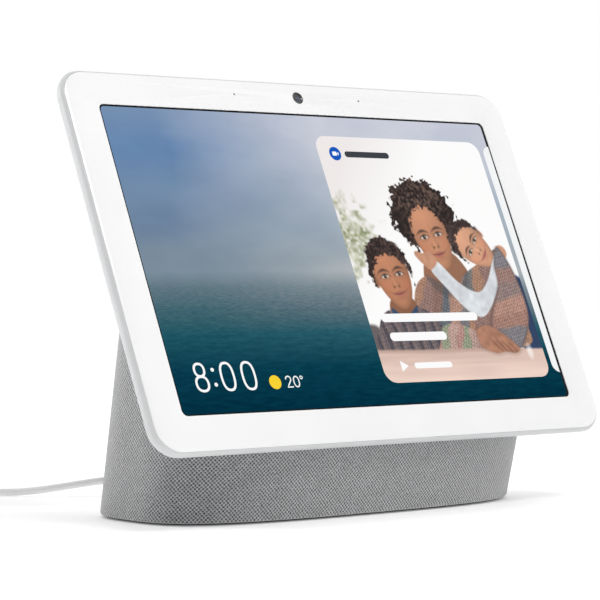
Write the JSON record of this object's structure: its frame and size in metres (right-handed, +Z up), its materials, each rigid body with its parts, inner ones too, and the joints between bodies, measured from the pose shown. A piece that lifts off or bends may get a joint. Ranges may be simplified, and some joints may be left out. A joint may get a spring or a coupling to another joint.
{
  "type": "smart display",
  "caption": "Tabletop smart display: a slim white-framed touch screen leaning back on a fabric-covered oval speaker base with a thin power cord.",
  "frame": {"origin": "on the table, below the middle of the display and base (the cord left out)", "axes": "+Z up, -Y the way the screen faces, +X to the viewer's right"},
  "size_m": [0.3029, 0.2047, 0.1846],
  "materials": {
    "front_glass": "white-printed cover glass",
    "lens_black": "polished black",
    "touch_film": "clear film",
    "lcd": "glossy",
    "light_guide": "clear white sheet stack",
    "white_plastic": "fine satin",
    "fabric": "light grey melange weave",
    "shell_plastic": "moulded",
    "foot_rubber": "matte silicone",
    "frame_metal": "stamped",
    "shield_steel": "tinned",
    "screw_steel": "zinc plated",
    "circuit_board": "solder resist",
    "black_part": "moulded",
    "capsule_metal": "plain",
    "flex_film": "polyimide",
    "antenna_copper": "etched foil",
    "wire_red": "insulation",
    "speaker_frame": "black paint",
    "magnet": "ferrite and steel",
    "surround_rubber": "matte",
    "cone_paper": "pressed pulp",
    "tweeter_silk": "coated silk",
    "cord_white": "satin jacket",
    "adapter_white": "satin",
    "prong_metal": "nickel plated"
  },
  "bodies": {
    "body": {"front_glass": "front_glass", "camera_lens": "lens_black", "touch_sensor": "touch_film", "lcd_cell": "lcd", "backlight": "light_guide", "rear_cover": "white_plastic", "fabric_sleeve": "fabric", "base_shell": "shell_plastic", "base_plate": "shell_plastic", "foot_pad": "foot_rubber", "mid_frame": "frame_metal", "neck_bracket": "frame_metal", "heat_spreader": "frame_metal", "shield_can": "shield_steel", "board_screws": "screw_steel", "display_screws": "screw_steel", "neck_screws": "screw_steel", "base_screws": "screw_steel", "woofer_screws": "screw_steel", "main_board": "circuit_board", "key_board": "circuit_board", "audio_board": "circuit_board", "power_board": "circuit_board", "mute_switch_body": "black_part", "volume_switches": "black_part", "dc_jack": "black_part", "light_sensor": "black_part", "camera_module": "black_part", "front_microphones": "capsule_metal", "rear_microphone": "capsule_metal", "sensor_flex": "flex_film", "link_cable": "flex_film", "wifi_antennas": "antenna_copper", "speaker_wires": "wire_red", "woofer_basket": "speaker_frame", "tweeter_bodies": "speaker_frame", "woofer_magnet": "magnet", "woofer_surround": "surround_rubber", "tweeter_domes": "tweeter_silk", "cord": "cord_white", "cord_coil": "cord_white", "cord_tail": "cord_white", "barrel_plug": "cord_white", "adapter_relief": "cord_white", "coil_tie": "cord_white", "wall_adapter": "adapter_white", "adapter_prongs": "prong_metal"},
    "mute_switch": {"mute_switch": "white_plastic"},
    "volume_rocker": {"volume_rocker": "white_plastic"},
    "woofer_cone": {"woofer_cone": "cone_paper", "dust_cap": "cone_paper"}
  },
  "joints": [
    {"name": "mute_slide", "type": "slide", "parent": "body", "child": "mute_switch", "axis": [1, 0, 0], "range_m": [0, 0.004]},
    {"name": "volume_rock", "type": "hinge", "parent": "body", "child": "volume_rocker", "pos_m": [-0.108, 0.00471, 0.13188], "axis": [1, 0, 0], "range_deg": [-2, 2], "stiffness_Nm_per_rad": 0.6},
    {"name": "woofer_travel", "type": "slide", "parent": "body", "child": "woofer_cone", "axis": [0, 0.9806, 0.1961], "range_m": [-0.002, 0.002], "stiffness_N_per_m": 1500}
  ]
}
